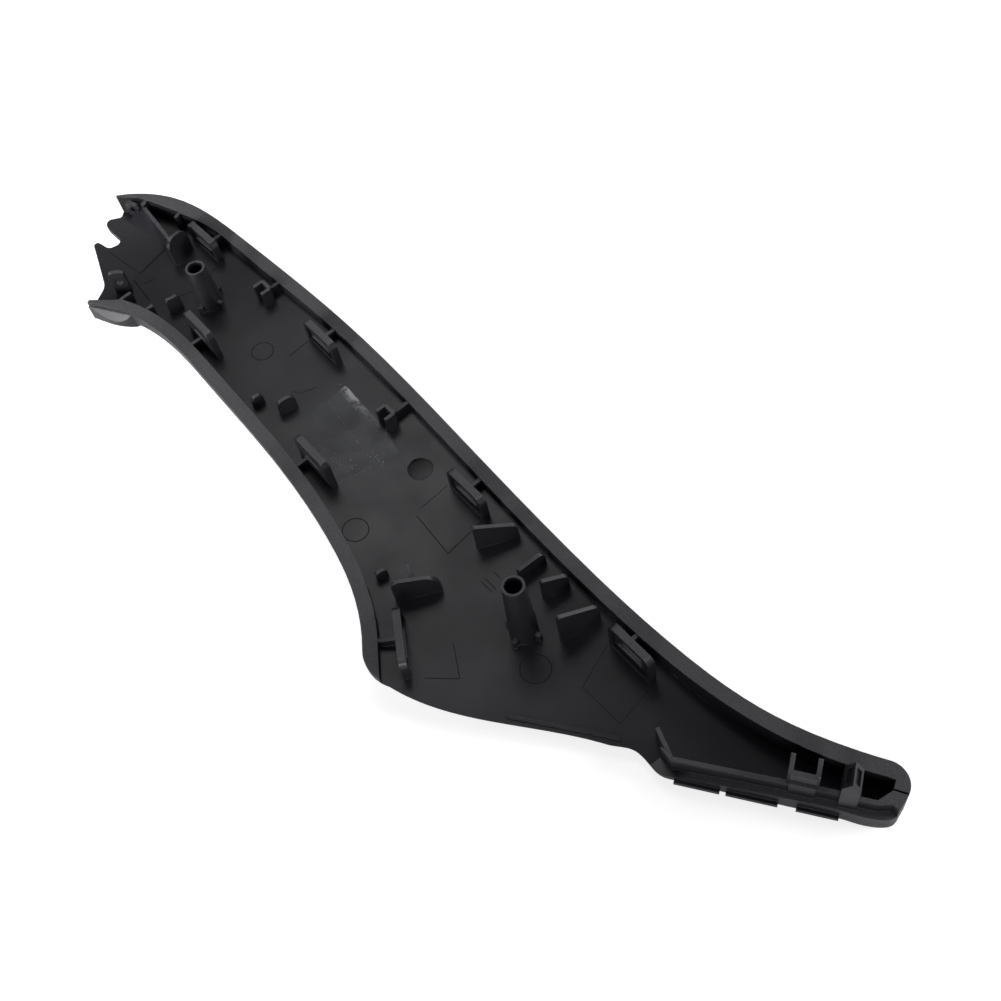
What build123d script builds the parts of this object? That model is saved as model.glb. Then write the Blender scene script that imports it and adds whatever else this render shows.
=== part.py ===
"""Cover of a car door's inner pull handle: one injection-moulded plastic shell.

The shell lies open side up. The origin is midway between the mouths of its two screw towers, +X runs from
the wide end to the slim tail, +Y to the long plain edge and +Z along the towers, which is the way the mould
opens. Lengths are in millimetres.
"""

import os
from math import cos, radians, sin, sqrt

from build123d import *

# Screw towers
TOWER_SPACING = 186.0
WIDE_TOWER_HEIGHT = 19.2
TAIL_TOWER_HEIGHT = 30.2
TOWER_BORE_D = 5.7
TOWER_MOUTH_D = 7.4
TOWER_FOOT_D = 9.4
TOWER_BORE_FLOOR = 3.0
TOWER_SHOULDER = 3.6
FOOT_RIB_REACH = 6.4
FOOT_RIB_RISE = 3.0
FOOT_RIB_T = 1.4
FOOT_RIB_TURN = 20.0

# Skin of the shell, crowned across its width and bent up at both ends
SKIN = 2.6
CROWN_R = 320.0
OUTER_EDGE_R = 3.0
WIDE_BEND_X = -118.0
WIDE_BEND_R = 200.0
TAIL_BEND_X = 130.0
TAIL_BEND_R = 1000.0
# Middle line of the crown in plan, beyond both ends
CROWN_LINE = (
    (-185, -15), (-150, -8), (-93, 3), (0, 4), (60, -3), (90, -4), (120, 5), (160, 18), (190, 30), (225, 45),
)

# Outline in plan
FAR_EDGE = (
    (-160, -20), (-155, -0.5), (-142, 15), (-107, 25.2), (-40, 30.8), (30, 29.8), (88, 28.3), (130, 29.5),
    (165, 34), (190, 43.2), (199, 47.8),
)
NEAR_EDGE = (
    (-136, -51), (-120, -36.6), (-101, -26.2), (-60, -22.5), (-16, -23.4), (28.5, -28.6), (50, -34.7),
    (66, -43.6),
)
BELLY_EDGE = ((80, -44.2), (98.4, -35.4), (119, -19.8), (138, -5.9))
NOTCH_EDGE = ((145, -0.9), (152, -0.6))
TAIL_EDGE = ((193, 24.6), (158.4, 0.8))
TAIL_TIP = (209.4, 43)
TAIL_END = ((210.4, 37.8), (204.8, 31.8))

# Rim: its rise over the floor along the part, and its land
RIM_RISE = (
    (-190, 9.5), (-133, 7.6), (-93, 5.2), (-30, 4.4), (40, 4.8), (80, 5.6), (105, 5.6), (125, 6.2),
    (150, 8.2), (185, 10.8), (230, 11.8),
)
RIM_LAND = 5.0
TAIL_STEP_W = 2.4
TAIL_RIB_T = 1.5
# Rise of the tail's outer ledge over the floor
LEDGE_RISE = ((140, -0.6), (150, 0.8), (160, 3.0), (175, 5.2), (200, 6.6), (230, 7.0))
# The rim's land at the wide end is slimmer, so its inner edge is given by plan points
WIDE_INSIDE = ((-149, 5.4), (-139.4, 10.9), (-130.4, 14.9))
# Plan points that carry the hollow out over the wide end and the belly edge and round the tip, and the
# step out past the tail
WIDE_OUTSIDE = ((-122, -37), (-175, -43), (-175, -5), (-154.4, -1.2))
BELLY_OUTSIDE = ((152, 4), (150, -20), (90, -60), (80, -47))
TAIL_CORNER = ((203.9, 44.6), (205.4, 41.6))
TAIL_OUTSIDE = ((148, 4), (146, -20), (215, 10), (225, 39.5))
INSET_POINTS = 14
TAIL_POINTS = 6

# Scalloped edge of the wide end: corner and radius
SCALLOPS = (
    ((-155.3, -0.6), 0.8), ((-153.2, -3.4), 1.2), ((-156.6, -10.8), 2.4), ((-142.6, -9.4), 2.4),
    ((-143.6, -15.7), 2.4), ((-152.4, -18.1), 1.4), ((-127.5, -27), 8.0), ((-120.4, -36.8), 1.0),
)

# Ends of that edge outside the shell, and two corners farther out
SCALLOP_ENDS = ((-175, 5), (-127, -60))
SCALLOP_OUTSIDE = ((-200, -60), (-200, 5))

# Flared lip under the near corner of the wide end
FLARE_LINE = ((-103, -27), (-123, -38.6))
FLARE_OUT = 3.4
FLARE_DROP = 4.3
FLARE_FOOT = 6.6
FLARE_OUTLINE = ((-123, -38.4), (-114, -35.3), (-106.3, -31.1), (-103.6, -26.4))
FLARE_INSIDE = ((-108, -24), (-123, -31))

# Plain ribs
RIB_T = 1.4
WEB_DROP = 0.3

# Plates for spring clips: middle in plan, turn, rise and length; the pocket is on the right-hand face
CLIP_T = 2.6
CLIP_CORNER_R = 3.0
CLIP_BORDER = 1.4
CLIP_POCKET = 1.2
CLIP_SLOT_L = 9.0
CLIP_SLOT_H = 2.2
CLIPS = (
    (-116.4, 14.0, 2.0, 9.5, 18.6),
    (-77.2, -12.0, 180.0, 12.0, 18.6),
    (-43.4, 19.0, 0.0, 10.0, 18.6),
    (-1.5, -13.5, 180.0, 13.0, 18.6),
    (44.0, 17.5, 0.0, 10.5, 18.6),
    (72.5, -32.5, 149.3, 10.0, 21.5),
    (123.5, 18.5, 0.0, 13.0, 18.6),
)

# Webs level with the rim, from a clip plate, a post or a tab to the rim
WEBS = (
    ((-113.5, 14.0), (-113.5, 22.5)),
    ((-77.0, -12.0), (-77.0, -20.5)),
    ((-45.4, 19.0), (-45.4, 28.0)),
    ((-6.2, -13.5), (-6.2, -21.5)),
    ((42.0, 17.5), (42.0, 27.0)),
    ((70.5, -31.5), (65.2, -39.5)),
    ((120.0, 18.5), (120.0, 27.0)),
    ((-78.5, 18.3), (-78.5, 26.0)),
    ((-0.5, 18.3), (-0.5, 28.0)),
    ((-132.4, 11.2), (-134.3, 16.5)),
    ((-145.5, 4.5), (-147.6, 9.0)),
    ((-113.6, -21.6), (-113.2, -29.5)),
    ((-102.7, -18.6), (-102.9, -24.5)),
    ((146.6, 7.3), (157.0, 3.4)),
)

# Free blades: both ends in plan, the rise at each, and the radius of each top corner
BLADES = (
    ((59.2, 8.0), (65.7, 21.2), 12.5, 7.0, 0.8, 3.0),
    ((78.3, 10.5), (78.8, 21.2), 6.5, 6.0, 0.8, 2.5),
    ((88.3, 12.0), (90.8, 21.2), 11.0, 7.0, 0.8, 3.0),
    ((103.3, 6.5), (105.3, 21.2), 16.0, 7.0, 0.8, 3.5),
    ((56.6, -24.0), (63.6, -10.0), 11.5, 9.0, 2.5, 7.0),
    ((52.5, -14.6), (60.0, -17.5), 8.5, 8.5, 0.8, 0.8),
    ((-40.0, -15.5), (-39.7, -11.0), 5.0, 5.0, 2.0, 1.6),
    ((-31.0, -10.0), (-30.2, -3.0), 6.5, 6.5, 2.0, 2.6),
    ((-99.2, -14.5), (-98.7, -9.0), 7.0, 7.0, 1.0, 1.0),
    ((46.8, -24.2), (47.5, -20.2), 4.5, 4.5, 1.0, 1.6),
    ((-117.9, -0.3), (-121.6, 9.5), 14.0, 11.0, 4.0, 4.2),
    ((-149.5, 5.2), (-119.5, 2.8), 5.5, 9.0, 0.8, 0.8),
)

# Ramp against the near side of the last blade, from its start: foot in plan at each end, and the top at each
RAMP_FOOT = ((-149.5, -2.0), (-127.0, 2.3))
RAMP_TOP = ((-149.5, 5.2), (-127.0, 3.4))
RAMP_RISE = (5.0, 7.6)

# Tabs with a hole: both ends in plan, rise, and the hole's rise and bore
TAB_T = 1.6
TABS = (
    ((-122.3, -24.6), (-118.8, -19.6), 11.5, 6.8, 3.0),
    ((-153.0, 0.8), (-146.8, 3.4), 6.8, 3.6, 2.6),
)

# Channel posts: middle in plan
POSTS = ((-78.5, 18.3), (-0.5, 18.3))
POST_WIDTH = 5.0
POST_DEPTH = 4.0
POST_RISE = 7.0

# Box clip and latch post on the tail
BOX_CLIP_AT = 8.2
BOX_CLIP_LENGTH = 7.6
BOX_CLIP_DEPTH = 6.0
BOX_CLIP_RISE = 19.0
BOX_STEP_RISE = 13.5
BOX_STEP_T = 1.4
BOX_CLIP_CORNER_R = 0.8
LATCH_CENTRE = (197.5, 33.0)
LATCH_WIDTH = 5.2
LATCH_DEPTH = 7.0
LATCH_RISE = 24.5
LATCH_ROOF = 4.0
LATCH_PANEL = (4.6, 2.6)
LATCH_PANEL_DEPTH = 0.8

# Thin lugs under the tail's outer edge: distance from the tail's slim end, and length
LUGS = ((-7.0, 12.0), (10.2, 15.0), (27.0, 13.5))
LUG_REACH = 1.3
LUG_T = 1.5
LUG_Z = -33.4

# Parting groove across the rim at the tip
GROOVE_LINE = ((204.5, 41.5), (212, 45.4))
GROOVE_W = 0.6
GROOVE_DEPTH = 0.7

# Low lip inside the belly edge
LIP_LINE = ((111.5, -22.6), (120.5, -15.6), (130.5, -8.0), (140.0, -1.2))
LIP_W = 1.4
LIP_RISE = 0.7

# Round recess in the floor
RECESS_AT = (22.0, 13.0)
RECESS_D = 9.0
RECESS_DEPTH = 0.5

TOP = 45.0
BOTTOM = -60.0
HALF_WIDTH = 80.0
FLOOR_SLOPE = (TAIL_TOWER_HEIGHT - WIDE_TOWER_HEIGHT) / TOWER_SPACING
FLOOR_MIDDLE = -(TAIL_TOWER_HEIGHT + WIDE_TOWER_HEIGHT) / 2


def between(stations, x):
    """Value at x on a line of straight runs."""
    for (x0, v0), (x1, v1) in zip(stations, stations[1:]):
        if x <= x1:
            break
    return v0 + (v1 - v0) * (x - x0) / (x1 - x0)


def crown(reach):
    """Rise of the crown at a distance from its middle line."""
    return CROWN_R - sqrt(CROWN_R**2 - reach**2)


def middle_floor(x):
    """Height of the inner floor on the crown's middle line."""
    z = FLOOR_MIDDLE - FLOOR_SLOPE * x
    z += max(0, WIDE_BEND_X - x) ** 2 / (2 * WIDE_BEND_R)
    z += max(0, x - TAIL_BEND_X) ** 2 / (2 * TAIL_BEND_R)
    return z


def floor_at(x, y):
    """Height of the inner floor at a point of the plan."""
    return middle_floor(x) + crown(y - between(CROWN_LINE, x))


def rim_at(x):
    """Height of the rim."""
    return middle_floor(x) + between(RIM_RISE, x)


def crowned_block(lift):
    """Block whose underside is the crowned floor, lifted by a distance."""
    with BuildPart() as block:
        for x, y in CROWN_LINE:
            z = middle_floor(x) + lift
            edge_z = z + crown(HALF_WIDTH)
            with BuildSketch(Plane.YZ.offset(x)):
                with BuildLine():
                    arc = ThreePointArc((y - HALF_WIDTH, edge_z), (y, z), (y + HALF_WIDTH, edge_z))
                    Polyline(arc @ 1, (y + HALF_WIDTH, TOP), (y - HALF_WIDTH, TOP), arc @ 0)
                make_face()
        loft()
    return block.part


def space_over(rises):
    """Block over a line that rises along the part, right across its width."""
    with BuildPart() as space:
        with BuildSketch(Plane.XZ):
            with BuildLine():
                line = Spline(*[(x, middle_floor(x) + rise) for x, rise in rises])
                Polyline(line @ 1, (rises[-1][0], TOP), (rises[0][0], TOP), line @ 0)
            make_face()
        extrude(amount=2 * HALF_WIDTH, both=True)
    return space.part


def inset(line, distance, count):
    """Points beside a line of the plan, on its right-hand side, evenly spaced along it."""
    points = []
    for step in range(count):
        along = line % (step / (count - 1))
        points.append(line @ (step / (count - 1)) + Vector(along.Y, -along.X, 0) * distance)
    return points


def wall_plane(start, end):
    """Upright plane along a line of the plan: x runs along the line and y is height."""
    run = Vector(end[0] - start[0], end[1] - start[1], 0)
    return Plane(origin=(start[0], start[1], 0), x_dir=run, z_dir=run.cross(Vector(0, 0, 1)))


def run_length(start, end):
    """Length of a line of the plan."""
    return sqrt((end[0] - start[0]) ** 2 + (end[1] - start[1]) ** 2)


def blade(start, end, start_rise, end_rise, start_r=0.0, end_r=0.0, thickness=RIB_T):
    """Upright rib on the floor between two points, with the rise of its top edge at each."""
    length = run_length(start, end)
    root = min(floor_at(*start), floor_at(*end)) - SKIN / 2
    tops = ((length, floor_at(*end) + end_rise), (0, floor_at(*start) + start_rise))
    with BuildPart() as rib:
        with BuildSketch(wall_plane(start, end)):
            with BuildLine():
                Polyline((0, root), (length, root), *tops, close=True)
            make_face()
            for top, radius in zip(tops, (end_r, start_r)):
                if radius:
                    fillet(vertices().sort_by_distance(top)[0], radius=radius)
        extrude(amount=thickness / 2, both=True)
    return rib.part


def web(start, end):
    """Rib whose top is level with the rim."""
    start_rise = rim_at(start[0]) - WEB_DROP - floor_at(*start)
    end_rise = rim_at(end[0]) - WEB_DROP - floor_at(*end)
    return blade(start, end, start_rise, end_rise)


def ramp():
    """Wedge that runs from a broad slope to an upright face."""
    with BuildPart() as wedge:
        for foot, top, rise in zip(RAMP_FOOT, RAMP_TOP, RAMP_RISE):
            root = floor_at(*foot) - SKIN / 2
            crest = floor_at(*top) + rise
            with BuildSketch(Plane.YZ.offset(foot[0])):
                with BuildLine():
                    Polyline(
                        (top[1], root),
                        (top[1], crest),
                        (top[1] - RIB_T / 2, crest),
                        (foot[1], floor_at(*foot)),
                        (foot[1], root),
                        close=True,
                    )
                make_face()
        loft()
    return wedge.part


def tab(start, end, rise, hole_rise, bore):
    """Upright tab with rounded shoulders and a hole."""
    length = run_length(start, end)
    middle = ((start[0] + end[0]) / 2, (start[1] + end[1]) / 2)
    with BuildPart() as plate:
        add(blade(start, end, rise, rise, length / 3, length / 3, TAB_T))
        with BuildSketch(wall_plane(start, end)):
            with Locations((length / 2, floor_at(*middle) + hole_rise)):
                Circle(bore / 2)
        extrude(amount=TAB_T, both=True, mode=Mode.SUBTRACT)
    return plate.part


def channel_post(x, y):
    """Small post of channel section, open towards the middle of the part."""
    left = (x - POST_WIDTH / 2, y)
    right = (x + POST_WIDTH / 2, y)
    with BuildPart() as post:
        add(blade(left, right, POST_RISE, POST_RISE))
        add(blade((left[0], y - POST_DEPTH), left, POST_RISE, POST_RISE))
        add(blade((right[0], y - POST_DEPTH), right, POST_RISE, POST_RISE))
    return post.part


def clip_plate(x, y, turn, rise, length):
    """Upright plate for a spring clip, with a bordered pocket and a slot on its right-hand face."""
    along = Vector(cos(radians(turn)), sin(radians(turn)), 0) * (length / 2)
    start = (x - along.X, y - along.Y)
    end = (x + along.X, y + along.Y)
    floor = floor_at(x, y)
    plane = wall_plane(start, end)
    with BuildPart() as plate:
        with BuildSketch(plane):
            with Locations((length / 2, floor + (rise - SKIN / 2) / 2)):
                Rectangle(length, rise + SKIN / 2)
            fillet(vertices().group_by(Axis.Y)[-1], radius=CLIP_CORNER_R)
        extrude(amount=CLIP_T / 2, both=True)
        with BuildSketch(plane.offset(CLIP_T / 2)):
            with Locations((length / 2, floor + rise / 2)):
                Rectangle(length - 2 * CLIP_BORDER, rise - 2 * CLIP_BORDER)
        extrude(amount=-CLIP_POCKET, mode=Mode.SUBTRACT)
        with BuildSketch(plane):
            with Locations((length / 2, floor + rise / 2)):
                Rectangle(CLIP_SLOT_L, CLIP_SLOT_H)
        extrude(amount=CLIP_T, both=True, mode=Mode.SUBTRACT)
    return plate.part


def tail_point(distance, depth):
    """Plan point at a distance along the tail's outer edge and a depth inside it."""
    start, end = (Vector(*point) for point in TAIL_EDGE)
    along = (end - start).normalized()
    point = start + along * distance + Vector(along.Y, -along.X) * depth
    return (point.X, point.Y)


def box_clip():
    """Two side walls and a front wall that stand up from the tail's rib."""
    depth = TAIL_STEP_W + TAIL_RIB_T / 2
    rise = BOX_CLIP_RISE
    with BuildPart() as clip:
        ends = (BOX_CLIP_AT - BOX_CLIP_LENGTH, BOX_CLIP_AT)
        add(blade(tail_point(ends[1], depth), tail_point(ends[0], depth), rise, rise, thickness=TAIL_RIB_T))
        step = [tail_point(distance, TAIL_STEP_W) for distance in ends]
        add(blade(step[1], step[0], BOX_STEP_RISE, BOX_STEP_RISE, thickness=BOX_STEP_T))
        for distance in ends:
            inner = tail_point(distance, depth + BOX_CLIP_DEPTH)
            add(blade(tail_point(distance, depth), inner, rise, rise, BOX_CLIP_CORNER_R, BOX_CLIP_CORNER_R))
    return clip.part


def latch_post():
    """Post with a gabled top at the slim end, and a sunk panel in each slope."""
    half = LATCH_WIDTH / 2
    along = (Vector(*TAIL_EDGE[0]) - Vector(*TAIL_EDGE[1])).normalized() * half
    start = (LATCH_CENTRE[0] - along.X, LATCH_CENTRE[1] - along.Y)
    end = (LATCH_CENTRE[0] + along.X, LATCH_CENTRE[1] + along.Y)
    roof_run = Vector(along.Y, -along.X, 0)
    floor = floor_at(*LATCH_CENTRE)
    top = floor + LATCH_RISE
    with BuildPart() as post:
        with BuildSketch(wall_plane(start, end)):
            with BuildLine():
                Polyline(
                    (0, floor - SKIN / 2),
                    (0, top - LATCH_ROOF),
                    (half, top),
                    (LATCH_WIDTH, top - LATCH_ROOF),
                    (LATCH_WIDTH, floor - SKIN / 2),
                    close=True,
                )
            make_face()
        extrude(amount=LATCH_DEPTH / 2, both=True)
        for roof in faces().sort_by(Axis.Z)[-2:]:
            with BuildSketch(Plane(roof.center(), x_dir=roof_run, z_dir=roof.normal_at())):
                Rectangle(*LATCH_PANEL)
            extrude(amount=-LATCH_PANEL_DEPTH, mode=Mode.SUBTRACT)
    return post.part


def tower(x, height):
    """Screw tower with a straight foot, a drafted wall over it, a blind bore and four foot ribs."""
    foot = -height - SKIN / 2
    with BuildPart() as boss:
        with BuildSketch(Plane.XY.offset(foot)):
            with Locations((x, 0)):
                Circle(TOWER_FOOT_D / 2)
        extrude(amount=TOWER_SHOULDER + SKIN / 2)
        with BuildSketch(Plane.XY.offset(TOWER_SHOULDER - height)):
            with Locations((x, 0)):
                Circle(TOWER_FOOT_D / 2)
        with BuildSketch(Plane.XY):
            with Locations((x, 0)):
                Circle(TOWER_MOUTH_D / 2)
        loft()
        with BuildSketch(Plane.XY.offset(foot)):
            with Locations(Location((x, 0, 0), (0, 0, FOOT_RIB_TURN))):
                Rectangle(2 * FOOT_RIB_REACH, FOOT_RIB_T)
                Rectangle(FOOT_RIB_T, 2 * FOOT_RIB_REACH)
        extrude(amount=FOOT_RIB_RISE + SKIN / 2)
        with BuildSketch(Plane.XY):
            with Locations((x, 0)):
                Circle(TOWER_BORE_D / 2)
        extrude(amount=TOWER_BORE_FLOOR - height, mode=Mode.SUBTRACT)
    return boss.part


# Plan of the shell
with BuildSketch() as plan:
    with BuildLine():
        far_line = Spline(*FAR_EDGE)
        tip_arc = TangentArc(far_line @ 1, TAIL_TIP, tangent=far_line % 1)
        tail_line = Line(*TAIL_EDGE)
        end_line = Spline(tip_arc @ 1, *TAIL_END, tail_line @ 0, tangents=(tip_arc % 1, tail_line % 0))
        near_line = Spline(*NEAR_EDGE)
        belly_line = Spline(*BELLY_EDGE)
        TangentArc(near_line @ 1, belly_line @ 0, tangent=near_line % 1)
        Spline(belly_line @ 1, *NOTCH_EDGE, tail_line @ 1, tangents=(belly_line % 1, tail_line % 0 * -1))
        Line(near_line @ 0, far_line @ 0)
    make_face()

# Hollow of the shell, which runs out over the belly edge
with BuildPart() as hollow:
    with BuildSketch(Plane.XY.offset(BOTTOM)):
        with BuildLine():
            far_inside = Spline(*WIDE_INSIDE, *inset(far_line, RIM_LAND, INSET_POINTS)[2:])
            near_inside = Spline(*inset(near_line, -RIM_LAND, INSET_POINTS)[2:])
            Polyline(
                far_inside @ 1,
                *TAIL_CORNER,
                *inset(end_line, TAIL_STEP_W + TAIL_RIB_T, TAIL_POINTS)[2:-1],
                *inset(tail_line, TAIL_STEP_W + TAIL_RIB_T, 2),
                *BELLY_OUTSIDE,
                near_inside @ 1,
            )
            Polyline(near_inside @ 0, *WIDE_OUTSIDE, far_inside @ 0)
        make_face()
    extrude(amount=TOP - BOTTOM)
    add(crowned_block(0), mode=Mode.INTERSECT)

# Step along the outside of the tail, which leaves a thin rib of the rim standing
with BuildPart() as tail_step:
    with BuildSketch(Plane.XY.offset(BOTTOM)):
        with BuildLine():
            Polyline(
                *inset(end_line, TAIL_STEP_W, TAIL_POINTS)[1:-1],
                *inset(tail_line, TAIL_STEP_W, 2),
                *TAIL_OUTSIDE,
                close=True,
            )
        make_face()
    extrude(amount=TOP - BOTTOM)
    add(space_over(LEDGE_RISE), mode=Mode.INTERSECT)

# Slanted bar under the near corner's rim
flare_top = rim_at(FLARE_LINE[0][0])
flare_run = Vector(*FLARE_LINE[1]) - Vector(*FLARE_LINE[0])
flare_out = Vector(-flare_run.Y, flare_run.X)
with BuildPart() as flare_bar:
    with BuildSketch(Plane(origin=(*FLARE_LINE[0], flare_top), x_dir=flare_out, z_dir=flare_run)):
        with BuildLine():
            Polyline(
                (-RIM_LAND / 2, -FLARE_FOOT),
                (-RIM_LAND / 2, 0),
                (0, 0),
                (FLARE_OUT, -FLARE_DROP),
                (0, -FLARE_FOOT),
                close=True,
            )
        make_face()
    extrude(amount=run_length(*FLARE_LINE))

# Flared lip, rounded off at its inner end
with BuildPart() as flare:
    with BuildSketch(Plane.XY.offset(BOTTOM)):
        with BuildLine():
            lip = Spline(*FLARE_OUTLINE)
            Polyline(lip @ 1, *FLARE_INSIDE, lip @ 0)
        make_face()
    extrude(amount=TOP - BOTTOM)
    add(flare_bar.part, mode=Mode.INTERSECT)

# Space beyond the scalloped edge of the wide end
with BuildPart() as end_trim:
    with BuildSketch(Plane.XY.offset(BOTTOM)):
        with BuildLine():
            corners = [corner for corner, radius in SCALLOPS]
            radii = [radius for corner, radius in SCALLOPS]
            edge = FilletPolyline(SCALLOP_ENDS[0], *corners, SCALLOP_ENDS[1], radius=radii)
            Polyline(edge @ 1, *SCALLOP_OUTSIDE, edge @ 0)
        make_face()
    extrude(amount=TOP - BOTTOM)

ribs = [tower(-TOWER_SPACING / 2, WIDE_TOWER_HEIGHT), tower(TOWER_SPACING / 2, TAIL_TOWER_HEIGHT)]
ribs += [clip_plate(*clip) for clip in CLIPS]
ribs += [web(*ends) for ends in WEBS]
ribs += [blade(*ends) for ends in BLADES]
ribs += [tab(*ends) for ends in TABS]
ribs += [channel_post(*middle) for middle in POSTS]
ribs += [ramp(), box_clip(), latch_post()]

# Lip inside the belly edge
with BuildPart() as lip_bar:
    with BuildSketch(Plane.XY.offset(BOTTOM)):
        with BuildLine():
            Spline(*LIP_LINE)
        trace(line_width=LIP_W)
    extrude(amount=TOP - BOTTOM)
    add(crowned_block(-SKIN / 2), mode=Mode.INTERSECT)
    add(crowned_block(LIP_RISE), mode=Mode.SUBTRACT)

with BuildPart() as handle_cover:
    with BuildSketch(Plane.XY.offset(BOTTOM)):
        add(plan.sketch)
    extrude(amount=TOP - BOTTOM)
    add(crowned_block(-SKIN), mode=Mode.INTERSECT)
    add(space_over(RIM_RISE), mode=Mode.SUBTRACT)
    under_face = faces().filter_by(lambda f: f.normal_at().Z < 0).sort_by(SortBy.AREA)[-1]
    fillet(under_face.edges().filter_by(lambda e: e.center().X > WIDE_BEND_X), radius=OUTER_EDGE_R)
    add(hollow.part, mode=Mode.SUBTRACT)
    add(tail_step.part, mode=Mode.SUBTRACT)
    add(flare.part)
    add(end_trim.part, mode=Mode.SUBTRACT)
    add(ribs)
    add(lip_bar.part)
    for distance, length in LUGS:
        with BuildSketch(Plane.XY.offset(LUG_Z)):
            Polygon(
                tail_point(distance, TAIL_STEP_W),
                tail_point(distance, -LUG_REACH),
                tail_point(distance + length, -LUG_REACH),
                tail_point(distance + length, TAIL_STEP_W),
                align=None,
            )
        extrude(amount=LUG_T)
    with BuildSketch(Plane.XY.offset(floor_at(*RECESS_AT) - RECESS_DEPTH)):
        with Locations(RECESS_AT):
            Circle(RECESS_D / 2)
    extrude(amount=SKIN, mode=Mode.SUBTRACT)
    with BuildSketch(Plane.XY.offset(rim_at(GROOVE_LINE[0][0]) - GROOVE_DEPTH)):
        with BuildLine():
            Line(*GROOVE_LINE)
        trace(line_width=GROOVE_W)
    extrude(amount=SKIN, mode=Mode.SUBTRACT)

handle_cover.part.label = "handle_cover"
os.makedirs("parts", exist_ok=True)
export_step(handle_cover.part, "parts/handle_cover.step")
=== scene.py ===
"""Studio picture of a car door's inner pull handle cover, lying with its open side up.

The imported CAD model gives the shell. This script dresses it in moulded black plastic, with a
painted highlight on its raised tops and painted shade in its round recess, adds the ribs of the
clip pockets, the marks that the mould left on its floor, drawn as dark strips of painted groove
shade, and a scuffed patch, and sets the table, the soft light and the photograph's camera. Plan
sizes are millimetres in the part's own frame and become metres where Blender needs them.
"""

import logging
import math
import random
from dataclasses import dataclass
from enum import Enum

import bmesh
import bpy
from mathutils import Matrix, Vector
from mathutils.bvhtree import BVHTree


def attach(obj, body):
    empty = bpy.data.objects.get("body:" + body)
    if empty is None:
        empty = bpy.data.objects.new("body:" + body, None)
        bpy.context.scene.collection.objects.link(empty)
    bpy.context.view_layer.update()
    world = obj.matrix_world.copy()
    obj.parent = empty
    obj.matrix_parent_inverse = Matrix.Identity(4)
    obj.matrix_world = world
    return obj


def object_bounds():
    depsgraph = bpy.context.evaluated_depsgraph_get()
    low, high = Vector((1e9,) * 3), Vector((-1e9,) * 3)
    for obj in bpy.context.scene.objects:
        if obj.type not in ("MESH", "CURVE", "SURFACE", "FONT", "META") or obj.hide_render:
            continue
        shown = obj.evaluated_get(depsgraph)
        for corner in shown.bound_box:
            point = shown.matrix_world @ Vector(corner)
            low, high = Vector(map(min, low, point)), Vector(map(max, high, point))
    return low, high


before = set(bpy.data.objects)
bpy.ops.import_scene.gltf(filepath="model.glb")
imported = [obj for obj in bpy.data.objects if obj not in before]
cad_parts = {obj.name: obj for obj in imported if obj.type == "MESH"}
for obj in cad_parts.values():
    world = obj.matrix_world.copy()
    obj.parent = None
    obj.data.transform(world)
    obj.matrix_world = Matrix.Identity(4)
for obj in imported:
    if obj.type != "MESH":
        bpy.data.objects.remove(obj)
cad_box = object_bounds()

logging.basicConfig(level=logging.INFO, format="%(levelname)s %(name)s: %(message)s")
log = logging.getLogger("handle_cover")

MM = 0.001
NODE = "handle_cover"
BODY = "root"
Plan = tuple[float, float]
Span = tuple[float, float]
Colour = tuple[float, float, float]
Socket = bpy.types.NodeSocket

# Colour sockets of a Mix node, whose names are not unique.
MIX_FIRST, MIX_SECOND, MIX_RESULT = 6, 7, 2


class Slot(Enum):
    """Material slots."""

    COVER = "cover"


@dataclass(frozen=True)
class CameraView:
    """Camera of the photograph.

    Attributes:
        place: Where the camera stands, in millimetres.
        aim: Point on its axis, in millimetres.
        roll: Turn about the axis, in degrees.
        lens: Focal length in millimetres on the given sensor.
        sensor: Width of the sensor in millimetres.
    """

    place: tuple[float, float, float] = (258.2, -86.3, 324.8)
    aim: tuple[float, float, float] = (55.2, 22.95, -20.0)
    roll: float = -13.42
    lens: float = 44.96
    sensor: float = 36.0


@dataclass(frozen=True)
class SoftLight:
    """Square soft box aimed at the part.

    Attributes:
        name: Name of the lamp.
        place: Where it hangs, in metres.
        size: Side of the square, in metres.
        power: Power in watts.
        aim: Point it is aimed at, in metres.
        spread: Angle of its beam in degrees.
    """

    name: str
    place: tuple[float, float, float]
    size: float
    power: float
    aim: tuple[float, float, float] = (0.03, 0.0, -0.02)
    spread: float = 180.0


@dataclass(frozen=True)
class FloorLine:
    """Fine line on the inner floor, left by the mould or scored later.

    Attributes:
        points: Corners in plan, in millimetres.
        width: Width of the line in millimetres.
    """

    points: tuple[Plan, ...]
    width: float = 0.3


@dataclass(frozen=True)
class FloorRing:
    """Round witness line of a mould insert.

    Attributes:
        centre: Middle in plan, in millimetres.
        diameter: Diameter of the line, in millimetres.
        width: Width of the line in millimetres.
    """

    centre: Plan
    diameter: float
    width: float = 0.35


@dataclass(frozen=True)
class ClipPlate:
    """Upright plate of the shell, for a spring clip.

    Attributes:
        place: Middle in plan, in millimetres.
        turn: Direction of its run in degrees, with the pocket on the right.
        rise: Height over the floor, in millimetres.
        length: Length of its run, in millimetres.
    """

    place: Plan
    turn: float
    rise: float
    length: float = 18.6


LIGHTS = (
    SoftLight("key", (-0.33, 0.19, 0.69), 0.34, 0.72),
    SoftLight(
        "wide_end_edge", (-0.015, -0.50, 0.12), 0.22, 0.34, (-0.113, -0.035, -0.012), spread=45.0
    ),
    SoftLight("near_tail", (0.84, -0.81, 0.35), 0.50, 5.2),
    SoftLight("far_tail", (0.84, 0.81, 0.35), 0.50, 7.0),
    SoftLight("far_back", (-0.20, 0.80, 0.30), 0.40, 1.8),
)

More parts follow.
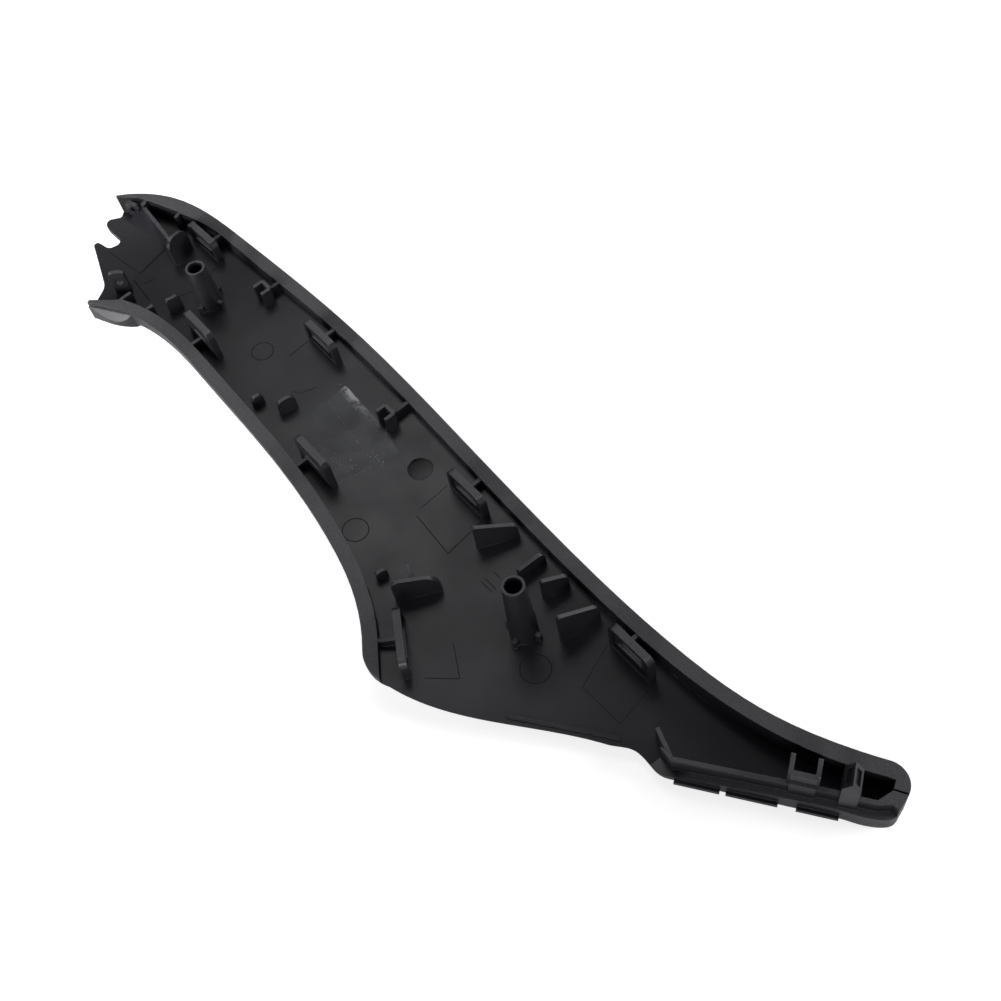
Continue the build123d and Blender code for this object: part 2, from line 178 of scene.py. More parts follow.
FLOOR_LINES = (
    FloorLine(((35.9, 0.6), (54.5, -0.6), (52.7, 16.0))),
    FloorLine(((34.5, 3.3), (33.9, 15.8)), 0.2),
    FloorLine(((-50.4, 7.3), (-51.1, 16.6))),
    FloorLine(((-36.5, -1.0), (-33.7, 0.7), (-31.8, 6.7)), 0.2),
    FloorLine(((84.8, -33.9), (92.1, -25.7), (80.7, -19.4))),
    FloorLine(((114.2, 16.4), (119.4, 1.2), (136.1, 1.6), (133.8, 15.2)), 0.2),
    FloorLine(((69.9, 1.0), (75.5, 1.2))),
    FloorLine(((70.0, 2.7), (75.6, 2.8))),
    FloorLine(((69.9, 6.3), (73.4, 6.4))),
    FloorLine(((-128.5, 1.0), (-124.6, -13.1)), 0.7),
    FloorLine(((-124.6, -13.1), (-138.2, -15.7), (-142.1, -16.5)), 0.3),
    FloorLine(((-123.3, -16.7), (-110.1, -17.4)), 0.5),
    FloorLine(((-118.8, -14.8), (-118.4, -9.5)), 0.3),
    FloorLine(((-102.1, -0.3), (-104.6, -9.2)), 0.4),
    FloorLine(((-105.5, 7.8), (-106.3, 12.4)), 0.4),
)
SCORED_LINES = (
    FloorLine(((-10.8, -8.8), (-8.5, 3.9), (-10.1, 12.9)), 0.20),
    FloorLine(((-8.5, 3.9), (2.0, 3.4)), 0.20),
    FloorLine(((7.2, -11.6), (9.6, 0.6)), 0.18),
    FloorLine(((-8.5, 3.9), (-23.9, 6.2)), 0.18),
)
CLIP_PLATES = (
    ClipPlate((-116.4, 14.0), 2.0, 9.5),
    ClipPlate((-77.2, -12.0), 180.0, 12.0),
    ClipPlate((-43.4, 19.0), 0.0, 10.0),
    ClipPlate((-1.5, -13.5), 180.0, 13.0),
    ClipPlate((44.0, 17.5), 0.0, 10.5),
    ClipPlate((72.5, -32.5), 149.3, 10.0, 21.5),
    ClipPlate((123.5, 18.5), 0.0, 13.0),
)
RINGS = (
    FloorRing((-59.4, 1.3), 8.2),
    FloorRing((105.2, -5.7), 10.0),
    FloorRing((26.4, -18.3), 9.0),
)
PATCH = (
    (-24.3, -1.2),
    (-24.6, 14.9),
    (-1.8, 14.1),
    (11.8, 11.7),
    (7.3, -12.0),
    (-9.7, -8.0),
)
CHIPS_AT = ((-1.2, -6.9), (2.9, -3.3), (8.8, 3.8), (-23.0, 12.8))
RECESS_AT = (22.0, 13.0)
RECESS_RADIUS = (4.3, 4.6)


@dataclass(frozen=True)
class InnerFloor:
    """Run of the shell's inner floor along its middle.

    Attributes:
        middle: Height at the part's origin, in millimetres.
        slope: Rise for each millimetre along the part.
        bends: Direction, start and radius of the bend at each end, in millimetres.
        clear: Rise over the run up to which a face is still floor, in millimetres.
    """

    middle: float = -24.7
    slope: float = -0.0591
    bends: tuple[tuple[float, float, float], ...] = (
        (-1.0, -118.0, 200.0),
        (1.0, 130.0, 1000.0),
    )
    clear: float = 2.6

    def level(self, x: float) -> float:
        """Height of the run.

        Args:
            x: Place along the part in millimetres.

        Returns:
            The height in millimetres.
        """
        height = self.middle + self.slope * x
        for sign, start, radius in self.bends:
            past = max(sign * (x - start), 0.0)
            height += past * past / (2.0 * radius)
        return height


FLOOR = InnerFloor()


class FloorProbe:
    """Finds the inner floor of the CAD shell under a plan point.

    Attributes:
        ABOVE: Height from which points drop, in metres.
        FLAT: Least upward share of the normal of a floor.
    """

    ABOVE = 0.06
    FLAT = 0.85

    def __init__(self, node: bpy.types.Object) -> None:
        """Builds the search tree.

        Args:
            node: CAD node whose mesh is searched.
        """
        self.tree = BVHTree.FromObject(node, bpy.context.evaluated_depsgraph_get())

    def met(self, point: Plan) -> tuple[Vector | None, Vector | None]:
        """Finds the first face under a plan point.

        Args:
            point: Plan point in millimetres.

        Returns:
            Place and normal in metres, or None for both where there is nothing.
        """
        start = Vector((point[0] * MM, point[1] * MM, self.ABOVE))
        place, normal, _, _ = self.tree.ray_cast(start, Vector((0.0, 0.0, -1.0)))
        return place, normal

    def at(self, point: Plan) -> tuple[Vector, Vector] | None:
        """Drops a plan point on the floor.

        Args:
            point: Plan point in millimetres.

        Returns:
            Place and normal of the floor in metres, or None where the first thing met isn't floor.
        """
        place, normal = self.met(point)
        if place is None or normal.z < self.FLAT:
            return None
        if place.z > (FLOOR.level(point[0]) + FLOOR.clear) * MM:
            return None
        return place, normal


@dataclass(frozen=True)
class Grain:
    """Noise pattern of a finish.

    Attributes:
        scale: Features per metre.
        detail: Octaves.
        roughness: Weight of the finer octaves.
    """

    scale: float
    detail: float = 3.0
    roughness: float = 0.5


class MaterialMaker:
    """Makes the procedural materials."""

    NOISE_SPAN = (0.3, 0.7)

    def __init__(self, name: str) -> None:
        """Starts an empty node material.

        Args:
            name: Name of the material.
        """
        self.material = bpy.data.materials.new(name)
        self.material.use_nodes = True
        self.nodes = self.material.node_tree.nodes
        self.links = self.material.node_tree.links
        self.shader = self.nodes["Principled BSDF"]
        self.place = self.add("ShaderNodeTexCoord").outputs["Object"]

    def add(self, kind: str, **values: object) -> bpy.types.Node:
        """Adds a node.

        Args:
            kind: Type name of the node.
            **values: Properties set on it.

        Returns:
            The node.
        """
        node = self.nodes.new(kind)
        for key, value in values.items():
            setattr(node, key, value)
        return node

    def fill(self, socket: Socket, value: object) -> None:
        """Links a socket to an input, or sets the input's value.

        Args:
            socket: The input.
            value: Socket, number or colour.
        """
        if isinstance(value, Socket):
            self.links.new(value, socket)
        else:
            socket.default_value = value

    def math(self, operation: str, *values: object) -> Socket:
        """Adds a math node.

        Args:
            operation: Name of the operation.
            *values: Sockets or numbers.

        Returns:
            Its output.
        """
        node = self.add("ShaderNodeMath", operation=operation)
        for socket, value in zip(node.inputs, values):
            self.fill(socket, value)
        return node.outputs[0]

    def split(self, vector: Socket) -> tuple[Socket, Socket, Socket]:
        """Splits a vector.

        Args:
            vector: The vector.

        Returns:
            Its three parts.
        """
        node = self.add("ShaderNodeSeparateXYZ")
        self.links.new(vector, node.inputs[0])
        return tuple(node.outputs)

    def noise(self, grain: Grain) -> Socket:
        """Adds a noise texture in object space.

        Args:
            grain: The pattern.

        Returns:
            Its value.
        """
        node = self.add("ShaderNodeTexNoise")
        node.inputs["Scale"].default_value = grain.scale
        node.inputs["Detail"].default_value = grain.detail
        node.inputs["Roughness"].default_value = grain.roughness
        self.links.new(self.place, node.inputs["Vector"])
        return node.outputs["Fac"]

    def band(self, value: Socket, span: Span, to: Span = (0.0, 1.0)) -> Socket:
        """Maps a span of values smoothly.

        Args:
            value: Socket to map.
            span: Values that give the two ends.
            to: The two ends.

        Returns:
            The mapped value.
        """
        node = self.add("ShaderNodeMapRange", interpolation_type="SMOOTHSTEP")
        self.links.new(value, node.inputs["Value"])
        for name, end in zip(("From Min", "From Max", "To Min", "To Max"), (*span, *to)):
            node.inputs[name].default_value = end
        return node.outputs["Result"]

    def mix(self, share: Socket, first: Socket | Colour, second: Colour) -> Socket:
        """Mixes two colours.

        Args:
            share: Share of the second.
            first: Colour or socket.
            second: Colour.

        Returns:
            The mixed colour.
        """
        node = self.add("ShaderNodeMix", data_type="RGBA")
        self.links.new(share, node.inputs["Factor"])
        start = first if isinstance(first, Socket) else (*first, 1.0)
        self.fill(node.inputs[MIX_FIRST], start)
        self.fill(node.inputs[MIX_SECOND], (*second, 1.0))
        return node.outputs[MIX_RESULT]

    def wire(self, socket: Socket, name: str) -> None:
        """Links a value to the shader.

        Args:
            socket: Value.
            name: Input of the shader.
        """
        self.links.new(socket, self.shader.inputs[name])


class PlasticMaterial(MaterialMaker):
    """Moulded black plastic with fine grain, some dust, a painted highlight on raised tops and
    painted shade in the dull recess.

    Its lengths are in millimetres.
    """

    DARK = (0.0085, 0.0083, 0.0105)
    PALE = (0.0130, 0.0127, 0.0150)
    # Painted highlight colour of the raised up-facing tops.
    PAINTED_TOP_HIGHLIGHT = (0.085, 0.085, 0.087)
    # Painted shade colour of the round recess's bottom.
    PAINTED_RECESS_SHADE = (0.0045, 0.0045, 0.0055)
    DUST = (0.22, 0.22, 0.225)
    FINE_GRAIN = Grain(2600.0, 2.0, 0.6)
    CLOUD = Grain(26.0, 4.0, 0.55)
    DUST_GRAIN = Grain(900.0, 3.0, 0.7)
    WEAR = Grain(60.0, 4.0)
    UPWARD = (0.80, 0.95)
    TOP_RISE = (2.6, 3.6)
    TOP_HIGHLIGHT_SHARE = (0.55, 1.0)
    DUST_SPAN = (0.70, 0.80)
    DUST_SHARE = (0.0, 0.10)
    ROUGHNESS = (0.33, 0.40)
    TOP_ROUGHER = 0.34
    SPECULAR = 0.5
    RECESS_DULL = 0.34
    RECESS_SHADE = (1.0, 0.30)
    EDGE_ROUND = 0.35
    EDGE_SAMPLES = 4
    BUMP_STRENGTH = 0.16
    BUMP_DEPTH = 0.08

    def build(self) -> bpy.types.Material:
        """Makes the material.

        Returns:
            The material.
        """
        along, across, height = self.split(self.place)
        geometry = self.add("ShaderNodeNewGeometry")
        upward = self.band(self.split(geometry.outputs["True Normal"])[2], self.UPWARD)
        tops = self.math("MULTIPLY", upward, self.band(self.rise(along, height), self.TOP_RISE))
        recess = self.math("MULTIPLY", upward, self.recess(along, across))
        grain = self.noise(self.FINE_GRAIN)
        self.wire(self.colour(upward, tops, recess, grain), "Base Color")
        rough = self.band(self.noise(self.WEAR), self.NOISE_SPAN, self.ROUGHNESS)
        rough = self.math("ADD", rough, self.math("MULTIPLY", tops, self.TOP_ROUGHER))
        self.wire(rough, "Roughness")
        dull = self.math("MULTIPLY", recess, self.RECESS_DULL)
        self.wire(self.math("SUBTRACT", self.SPECULAR, dull), "Specular IOR Level")
        rounded = self.add("ShaderNodeBevel", samples=self.EDGE_SAMPLES)
        rounded.inputs["Radius"].default_value = self.EDGE_ROUND * MM
        bump = self.add("ShaderNodeBump")
        bump.inputs["Strength"].default_value = self.BUMP_STRENGTH
        bump.inputs["Distance"].default_value = self.BUMP_DEPTH * MM
        self.links.new(grain, bump.inputs["Height"])
        self.links.new(rounded.outputs[0], bump.inputs["Normal"])
        self.wire(bump.outputs[0], "Normal")
        return self.material

    def colour(self, upward: Socket, tops: Socket, recess: Socket, grain: Socket) -> Socket:
        """Colour of the plastic.

        Args:
            upward: Share of faces that look up.
            tops: Share of raised up-facing tops, which get the painted highlight.
            recess: Share of the recess.
            grain: Fine grain.

        Returns:
            The colour.
        """
        colour = self.mix(self.noise(self.CLOUD), self.DARK, self.PALE)
        speckle = self.band(grain, self.NOISE_SPAN, self.TOP_HIGHLIGHT_SHARE)
        # Painted highlight: raised up-facing tops are lightened, speckled by the fine grain.
        colour = self.mix(self.math("MULTIPLY", tops, speckle), colour, self.PAINTED_TOP_HIGHLIGHT)
        # Painted shade in the round recess, which also gets a duller specular.
        colour = self.mix(recess, colour, self.PAINTED_RECESS_SHADE)
        dust = self.band(self.noise(self.DUST_GRAIN), self.DUST_SPAN, self.DUST_SHARE)
        return self.mix(self.math("MULTIPLY", dust, upward), colour, self.DUST)

    def rise(self, along: Socket, height: Socket) -> Socket:
        """Height over the shell's inner floor.

        Args:
            along: Place along the part in metres.
            height: Height in metres.

        Returns:
            The rise in millimetres.
        """
        x = self.math("DIVIDE", along, MM)
        level = self.math("MULTIPLY_ADD", x, FLOOR.slope, FLOOR.middle)
        for sign, start, radius in FLOOR.bends:
            past = self.math("MULTIPLY", self.math("SUBTRACT", x, start), sign)
            past = self.math("MAXIMUM", past, 0.0)
            bend = self.math("DIVIDE", self.math("MULTIPLY", past, past), 2.0 * radius)
            level = self.math("ADD", level, bend)
        return self.math("SUBTRACT", self.math("DIVIDE", height, MM), level)

    def recess(self, along: Socket, across: Socket) -> Socket:
        """Share of the painted shade on the bottom of the round recess, strongest towards the wide
        end.

        Args:
            along: Place along the part in metres.
            across: Place across the part in metres.

        Returns:
            1 inside the recess and 0 outside it.
        """
        squares = []
        for value, centre in zip((along, across), RECESS_AT):
            offset = self.math("SUBTRACT", value, centre * MM)
            squares.append(self.math("MULTIPLY", offset, offset))
        distance = self.math("SQRT", self.math("ADD", *squares))
        near, far = (radius * MM for radius in RECESS_RADIUS)
        inside = self.band(distance, (near, far), (1.0, 0.0))
        middle = RECESS_AT[0] * MM
        shade = self.band(along, (middle - far, middle + far), self.RECESS_SHADE)
        return self.math("MULTIPLY", inside, shade)


class PatchMaterial(MaterialMaker):
    """Polished, faintly blue patch of the floor, scuffed pale along its far edge.

    Its lengths are in millimetres.
    """

    SHEET = (0.0090, 0.0102, 0.0140)
    HAZE = (0.0150, 0.0165, 0.0210)
    SCUFF = (0.36, 0.36, 0.37)
    RUBBED = (0.120, 0.120, 0.125)
    CLOUD = Grain(70.0)
    CLOUD_SPAN = (0.35, 0.65)
    SMEAR = Grain(330.0, 6.0, 0.7)
    SMEAR_SPAN = (0.38, 0.62)
    RUB = Grain(900.0, 5.0, 0.75)
    RUB_SPAN = (0.56, 0.72)
    RUB_SHARE = (0.0, 0.22)
    SCUFF_REACH = 4.6
    SCUFF_END = 3.0
    SCUFF_FADE = (1.0, 0.12)
    WEAR = Grain(120.0, 4.0)
    ROUGHNESS = (0.32, 0.40)
    SCUFF_ROUGHER = 0.3

    def build(self) -> bpy.types.Material:
        """Makes the material.

        Returns:
            The material.
        """
        scuff = self.scuff()
        cloud = self.band(self.noise(self.CLOUD), self.CLOUD_SPAN)
        rubbed = self.band(self.noise(self.RUB), self.RUB_SPAN, self.RUB_SHARE)
        colour = self.mix(cloud, self.SHEET, self.HAZE)
        colour = self.mix(rubbed, colour, self.RUBBED)
        self.wire(self.mix(scuff, colour, self.SCUFF), "Base Color")
        rough = self.band(self.noise(self.WEAR), self.NOISE_SPAN, self.ROUGHNESS)
        rough = self.math("ADD", rough, self.math("MULTIPLY", scuff, self.SCUFF_ROUGHER))
        self.wire(rough, "Roughness")
        return self.material

    def scuff(self) -> Socket:
        """Share of the smeared scuff, which fades inwards and along the patch's far edge.

        Returns:
            1 where the plastic is scuffed and 0 elsewhere.
        """
        along, across, _ = self.split(self.place)
        (start_x, start_y), (end_x, end_y) = PATCH[1:3]
        slope = (end_y - start_y) / (end_x - start_x)
        edge = self.math("MULTIPLY_ADD", along, slope, (start_y - slope * start_x) * MM)
        inward = self.math("SUBTRACT", edge, across)
        near = self.band(inward, (0.0, self.SCUFF_REACH * MM), (1.0, 0.0))
        fade = self.band(along, (start_x * MM, self.SCUFF_END * MM), self.SCUFF_FADE)
        smear = self.band(self.noise(self.SMEAR), self.SMEAR_SPAN)
        return self.math("MULTIPLY", self.math("MULTIPLY", near, fade), smear)


class MottledMaterial(MaterialMaker):
    """Finish mottled between two tones, with an uneven roughness."""

    LOW: Colour
    HIGH: Colour
    MOTTLE: Grain
    WEAR: Grain
    ROUGHNESS: Span
    SPECULAR = 0.5

    def build(self) -> bpy.types.Material:
        """Makes the material.

        Returns:
            The material.
        """
        self.wire(self.mix(self.noise(self.MOTTLE), self.LOW, self.HIGH), "Base Color")
        rough = self.band(self.noise(self.WEAR), self.NOISE_SPAN, self.ROUGHNESS)
        self.wire(rough, "Roughness")
        self.shader.inputs["Specular IOR Level"].default_value = self.SPECULAR
        return self.material


class GrooveShadeMaterial(MottledMaterial):
    """Painted shade of a mould line's groove, laid as a dark strip just over the floor."""

    # Dark tones of the painted groove shade.
    LOW = (0.0045, 0.0045, 0.0055)
    HIGH = (0.0090, 0.0090, 0.0105)
    MOTTLE = Grain(300.0)
    WEAR = Grain(700.0)
    ROUGHNESS = (0.60, 0.75)
    SPECULAR = 0.3


class ScoreMaterial(MottledMaterial):
    """Pale scored plastic, as in a scratch."""

    LOW = (0.035, 0.035, 0.038)
    HIGH = (0.16, 0.16, 0.165)
    MOTTLE = Grain(500.0)
    WEAR = Grain(900.0)
    ROUGHNESS = (0.45, 0.65)


class ChipMaterial(ScoreMaterial):
    """Whitened plastic of a small chip."""

    LOW = (0.12, 0.12, 0.125)
    HIGH = (0.62, 0.62, 0.63)


class TableMaterial(MottledMaterial):
    """White table top that keeps soft contact shadows and stays white towards the horizon.

    Its lengths are in metres.
    """

    LOW = (0.86, 0.86, 0.86)
    HIGH = (0.88, 0.88, 0.88)
    MOTTLE = Grain(3.0)
    WEAR = Grain(9.0)
    ROUGHNESS = (0.85, 0.95)
    SPECULAR = 0.1
    GLOW = (0.56, 0.88)
    GLOW_REACH = (0.6, 1.6)
    SPILL = 0.12

    def build(self) -> bpy.types.Material:
        """Makes the material.

        Returns:
            The material.
        """
        super().build()
        seen = self.add("ShaderNodeLightPath").outputs["Is Camera Ray"]
        away = self.add("ShaderNodeVectorMath", operation="LENGTH")
        self.links.new(self.place, away.inputs[0])
        shine = self.band(away.outputs["Value"], self.GLOW_REACH, self.GLOW)
        strength = self.math("ADD", self.math("MULTIPLY", seen, shine), self.SPILL)
        glow = self.add("ShaderNodeEmission")
        self.links.new(strength, glow.inputs["Strength"])
        both = self.add("ShaderNodeAddShader")
        self.links.new(self.shader.outputs[0], both.inputs[0])
        self.links.new(glow.outputs[0], both.inputs[1])
        self.links.new(both.outputs[0], self.nodes["Material Output"].inputs["Surface"])
        return self.material


def add_piece(mesh: bmesh.types.BMesh, name: str, material: bpy.types.Material) -> bpy.types.Object:
    """Turns a mesh into a piece of the part.

    Args:
        mesh: Mesh in metres, which is freed.
        name: Name of the piece.
        material: Its material.

    Returns:
        The piece.
    """
    bmesh.ops.recalc_face_normals(mesh, faces=mesh.faces)
    data = bpy.data.meshes.new(name)
    mesh.to_mesh(data)
    mesh.free()
    data.materials.append(material)
    piece = bpy.data.objects.new(name, data)
    bpy.context.scene.collection.objects.link(piece)
    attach(piece, BODY)
    log.info("%s: %d faces", name, len(data.polygons))
    return piece


@dataclass(frozen=True)
class PocketRibs:
    """Thin ribs in the pockets of the clip plates, one under the top and one under the slot.

    Attributes:
        probe: Finder of the plates' tops.
        border: Width of the border round a pocket, in millimetres.
        seat: From the middle of a plate to the floor of its pocket, in millimetres.
        reach: How far a rib stands out of the pocket's floor, in millimetres.
        thick: Thickness of a rib, in millimetres.
        under_top: From the top of a plate to its upper rib, in millimetres.
        under_slot: From the middle of a plate's height to its lower rib, in millimetres.
        slot_run: Length of the lower rib, in millimetres.
    """

    probe: FloorProbe
    border: float = 1.4
    seat: float = 0.1
    reach: float = 1.0
    thick: float = 0.45
    under_top: float = 2.3
    under_slot: float = 1.4
    slot_run: float = 11.0

    def build(
        self, name: str, plates: tuple[ClipPlate, ...], material: bpy.types.Material
    ) -> bpy.types.Object:
        """Makes the ribs of all plates.

        Args:
            name: Name of the piece.
            plates: The plates.
            material: Their material.

        Returns:
            The piece.
        """
        mesh = bmesh.new()
        for plate in plates:
            top = Matrix.Translation(self.probe.met(plate.place)[0])
            turn = Matrix.Rotation(math.radians(plate.turn), 4, "Z")
            stand = top @ Matrix.Scale(MM, 4) @ turn
            upper = (self.under_top, plate.length - 2.0 * self.border)
            lower = (plate.rise / 2.0 + self.under_slot, self.slot_run)
            for drop, run in (upper, lower):
                shift = Matrix.Translation((0.0, -self.seat - self.reach / 2.0, -drop))
                form = Matrix.Diagonal((run, self.reach, self.thick, 1.0))
                bmesh.ops.create_cube(mesh, size=1.0, matrix=stand @ shift @ form)
        return add_piece(mesh, name, material)


@dataclass(frozen=True)
class FloorMarks:
    """Thin marks on the shell's inner floor.

    Attributes:
        probe: Finder of the inner floor.
        step: Longest stretch of a line between two floor points, in millimetres.
        ring_steps: Stretches of a ring.
        line_proud: Height of a line over the floor, in millimetres.
        patch_proud: Height of the polished patch over the floor, in millimetres.
        deep: Thickness of a mark, in millimetres.
        chips: Chips in each cluster.
        chip_spread: How far a cluster's chips scatter, in millimetres.
        chip_size: Smallest and largest chip, in millimetres.
        chip_form: Proportions of a chip.
        seed: Start of the chips' random draws.
    """

    probe: FloorProbe
    step: float = 1.2
    ring_steps: int = 48
    line_proud: float = 0.04
    patch_proud: float = 0.02
    deep: float = 0.14
    chips: int = 26
    chip_spread: float = 1.9
    chip_size: Span = (0.09, 0.36)
    chip_form: tuple[float, float, float] = (1.6, 0.7, 0.25)
    seed: int = 7

    def settle(self, mesh: bmesh.types.BMesh, proud: float) -> None:
        """Drops a flat plan mesh on the floor and gives it thickness.

        Args:
            mesh: Mesh in plan millimetres, left in metres.
            proud: Height over the floor in millimetres.
        """
        off_floor = []
        for vert in mesh.verts:
            found = self.probe.at((vert.co.x, vert.co.y))
            if found is None:
                off_floor.append(vert)
            else:
                vert.co = found[0] + found[1] * (proud * MM)
        bmesh.ops.delete(mesh, geom=off_floor, context="VERTS")
        grown = bmesh.ops.extrude_face_region(mesh, geom=mesh.faces[:], use_keep_orig=True)["geom"]
        under = [item for item in grown if isinstance(item, bmesh.types.BMVert)]
        bmesh.ops.translate(mesh, verts=under, vec=(0.0, 0.0, -self.deep * MM))

    def lines(
        self, name: str, lines: tuple[FloorLine, ...], material: bpy.types.Material
    ) -> bpy.types.Object:
        """Makes straight lines.

        Args:
            name: Name of the piece.
            lines: The lines.
            material: Their material.

        Returns:
            The piece.
        """
        mesh = bmesh.new()
        for line in lines:
            for start, end in zip(line.points, line.points[1:]):
                run = Vector(end) - Vector(start)
                middle = Matrix.Translation((Vector(start) + run / 2).to_3d())
                turn = Matrix.Rotation(math.atan2(run.y, run.x), 4, "Z")
                form = Matrix.Diagonal((run.length, line.width, 1.0, 1.0))
                bmesh.ops.create_grid(
                    mesh,
                    x_segments=math.ceil(run.length / self.step),
                    y_segments=1,
                    size=0.5,
                    matrix=middle @ turn @ form,
                )
        self.settle(mesh, self.line_proud)
        return add_piece(mesh, name, material)

    def rings(
        self, name: str, rings: tuple[FloorRing, ...], material: bpy.types.Material
    ) -> bpy.types.Object:
        """Makes round lines.

        Args:
            name: Name of the piece.
            rings: The rings.
            material: Their material.

        Returns:
            The piece.
        """
        mesh = bmesh.new()
        for ring in rings:
            centre = Vector(ring.centre).to_3d()
            reaches = ((ring.diameter - ring.width) / 2, (ring.diameter + ring.width) / 2)
            ends = [mesh.verts.new(centre + Vector((reach, 0.0, 0.0))) for reach in reaches]
            across = mesh.edges.new(ends)
            bmesh.ops.spin(
                mesh,
                geom=[*ends, across],
                cent=centre,
                axis=(0.0, 0.0, 1.0),
                angle=2.0 * math.pi,
                steps=self.ring_steps,
                use_merge=True,
            )
        self.settle(mesh, self.line_proud)
        return add_piece(mesh, name, material)

    def patch(
        self, name: str, outline: tuple[Plan, ...], material: bpy.types.Material
    ) -> bpy.types.Object:
        """Lays the polished patch as a thin sheet on the floor.

        Args:
            name: Name of the piece.
            outline: Corners of the patch in plan millimetres, clockwise.
            material: Its material.

        Returns:
            The piece.
        """
        low = Vector(min(values) for values in zip(*outline))
        high = Vector(max(values) for values in zip(*outline))
        size = max(high - low)
        middle = Matrix.Translation(((low + high) / 2).to_3d())
        steps = math.ceil(size / self.step)
        mesh = bmesh.new()
        bmesh.ops.create_grid(
            mesh, x_segments=steps, y_segments=steps, size=size / 2, matrix=middle
        )
        for start, end in zip(outline, (*outline[1:], outline[0])):
            bmesh.ops.bisect_plane(
                mesh,
                geom=[*mesh.verts, *mesh.edges, *mesh.faces],
                plane_co=(*start, 0.0),
                plane_no=(start[1] - end[1], end[0] - start[0], 0.0),
                clear_outer=True,
            )
        self.settle(mesh, self.patch_proud)
        return add_piece(mesh, name, material)

    def chipped(
        self, name: str, centres: tuple[Plan, ...], material: bpy.types.Material
    ) -> bpy.types.Object:
        """Scatters small pale chips over the polished patch.

        Args:
            name: Name of the piece.
            centres: Middles of the clusters in plan millimetres.
            material: Their material.

        Returns:
            The piece.
        """
        draw = random.Random(self.seed)
        form = Matrix.Diagonal((*self.chip_form, 1.0))
        mesh = bmesh.new()
        for centre in centres:
            for _ in range(self.chips):
                x = draw.gauss(centre[0], self.chip_spread)
                y = draw.gauss(centre[1], self.chip_spread / 2)
                radius = draw.uniform(*self.chip_size) / 2 * MM
                turn = Matrix.Rotation(draw.uniform(0.0, math.pi), 4, "Z")
                found = self.probe.at((x, y))
                if found:
                    place = Matrix.Translation(found[0]) @ turn @ form
                    bmesh.ops.create_icosphere(
                        mesh, subdivisions=1, radius=radius, matrix=place
                    )
        return add_piece(mesh, name, material)


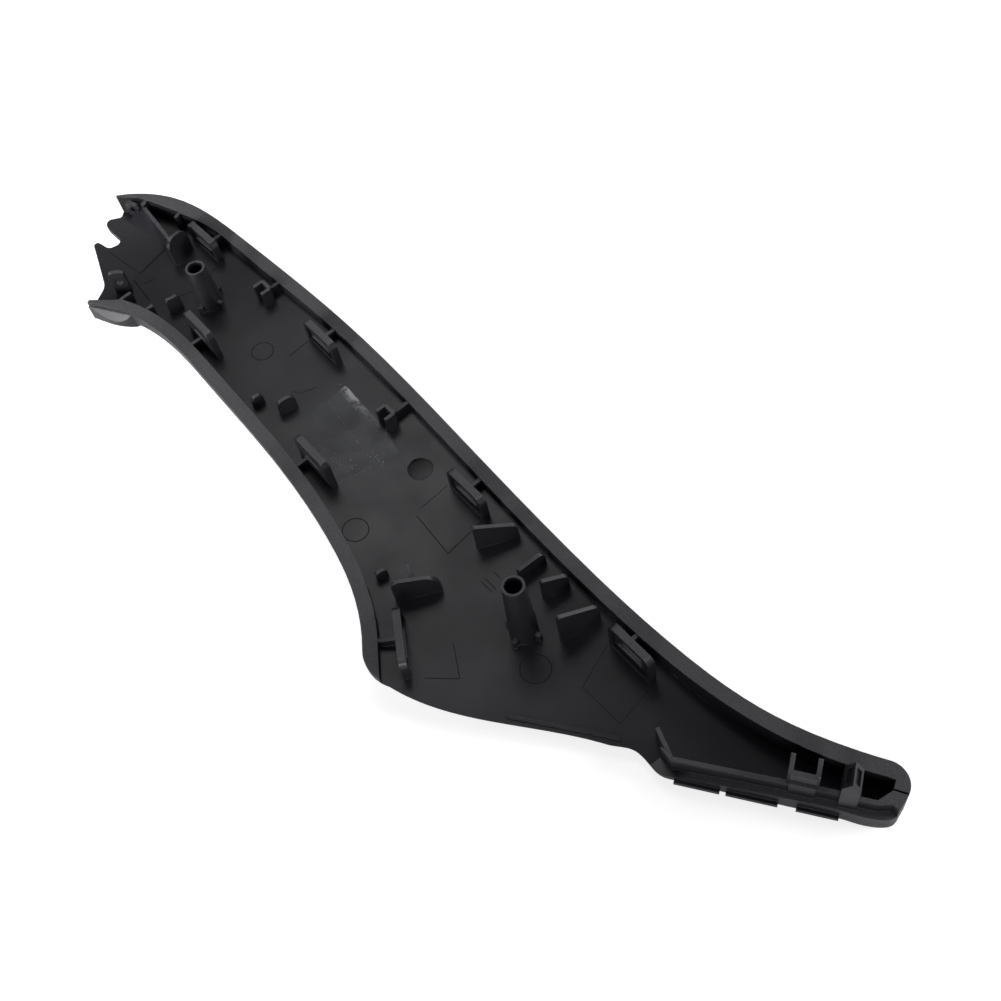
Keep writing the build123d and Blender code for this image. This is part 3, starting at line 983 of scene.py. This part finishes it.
@dataclass(frozen=True)
class Studio:
    """Table, lights, surroundings and camera.

    Attributes:
        half: Half the side of the table top, in metres.
        room: Strength of the light from the room.
        room_tint: Colour of the light from the room.
    """

    half: float = 4.0
    room: float = 0.10
    room_tint: Colour = (0.94, 0.92, 1.10)

    def table(self, level: float) -> bpy.types.Object:
        """Lays the table top.

        Args:
            level: Its height in metres.

        Returns:
            The table top.
        """
        mesh = bmesh.new()
        place = Matrix.Translation((0.0, 0.0, level))
        bmesh.ops.create_grid(mesh, x_segments=1, y_segments=1, size=self.half, matrix=place)
        data = bpy.data.meshes.new("table_top")
        mesh.to_mesh(data)
        mesh.free()
        data.materials.append(TableMaterial("table_white").build())
        floor = bpy.data.objects.new("table_top", data)
        bpy.context.scene.collection.objects.link(floor)
        return floor

    def light(self, lamp: SoftLight) -> None:
        """Hangs a soft box.

        Args:
            lamp: What it is.
        """
        data = bpy.data.lights.new(lamp.name, "AREA")
        data.energy = lamp.power
        data.size = lamp.size
        data.spread = math.radians(lamp.spread)
        item = bpy.data.objects.new(lamp.name, data)
        item.location = lamp.place
        item.rotation_mode = "QUATERNION"
        item.rotation_quaternion = (Vector(lamp.aim) - item.location).to_track_quat("-Z", "Y")
        bpy.context.scene.collection.objects.link(item)

    def surroundings(self) -> None:
        """White to the camera, and a dim room to everything else."""
        world = bpy.data.worlds.new("room")
        world.use_nodes = True
        bpy.context.scene.world = world
        nodes = world.node_tree.nodes
        links = world.node_tree.links
        seen = nodes.new("ShaderNodeLightPath").outputs["Is Camera Ray"]
        strength = nodes.new("ShaderNodeMapRange")
        strength.inputs["To Min"].default_value = self.room
        strength.inputs["To Max"].default_value = 1.0
        links.new(seen, strength.inputs["Value"])
        background = nodes["Background"]
        tint = nodes.new("ShaderNodeMix")
        tint.data_type = "RGBA"
        links.new(seen, tint.inputs["Factor"])
        tint.inputs[MIX_FIRST].default_value = (*self.room_tint, 1.0)
        tint.inputs[MIX_SECOND].default_value = (1.0, 1.0, 1.0, 1.0)
        links.new(tint.outputs[MIX_RESULT], background.inputs["Color"])
        links.new(strength.outputs["Result"], background.inputs["Strength"])

    def camera(self, view: CameraView) -> None:
        """Sets up the photograph's camera.

        Args:
            view: Its place and lens.
        """
        data = bpy.data.cameras.new("photo_camera")
        data.sensor_width = view.sensor
        data.lens = view.lens
        camera = bpy.data.objects.new("photo_camera", data)
        place = Vector(view.place) * MM
        look = (Vector(view.aim) * MM - place).to_track_quat("-Z", "Y").to_matrix()
        turned = look @ Matrix.Rotation(math.radians(view.roll), 3, "Z")
        camera.matrix_world = Matrix.Translation(place) @ turned.to_4x4()
        bpy.context.scene.collection.objects.link(camera)
        bpy.context.scene.camera = camera


def dress_shell(node: bpy.types.Object, material: bpy.types.Material) -> None:
    """Gives the CAD shell its plastic.

    Args:
        node: CAD node.
        material: The plastic.
    """
    node.data.materials.clear()
    node.data.materials.append(material)
    log.info("%s: %d faces", NODE, len(node.data.polygons))


def main() -> None:
    """Builds the scene."""
    bpy.context.scene.view_settings.view_transform = "Standard"
    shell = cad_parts[NODE]
    probe = FloorProbe(shell)
    plastic = PlasticMaterial("moulded_black_plastic").build()
    dress_shell(shell, plastic)
    PocketRibs(probe).build("clip_pocket_ribs", CLIP_PLATES, plastic)
    marks = FloorMarks(probe)
    groove_shade = GrooveShadeMaterial("mould_line_painted_shade").build()
    score = ScoreMaterial("scored_plastic").build()
    # Mould lines and rings drawn as dark strips of painted groove shade.
    marks.lines("mould_lines", FLOOR_LINES, groove_shade)
    marks.rings("mould_rings", RINGS, groove_shade)
    marks.patch("polished_patch", PATCH, PatchMaterial("polished_plastic").build())
    marks.lines("scored_lines", SCORED_LINES, score)
    marks.chipped("scuff_chips", CHIPS_AT, ChipMaterial("chipped_plastic").build())
    studio = Studio()
    studio.table(cad_box[0].z)
    for lamp in LIGHTS:
        studio.light(lamp)
    studio.surroundings()
    studio.camera(CameraView())


if __name__ == "__main__":
    main()
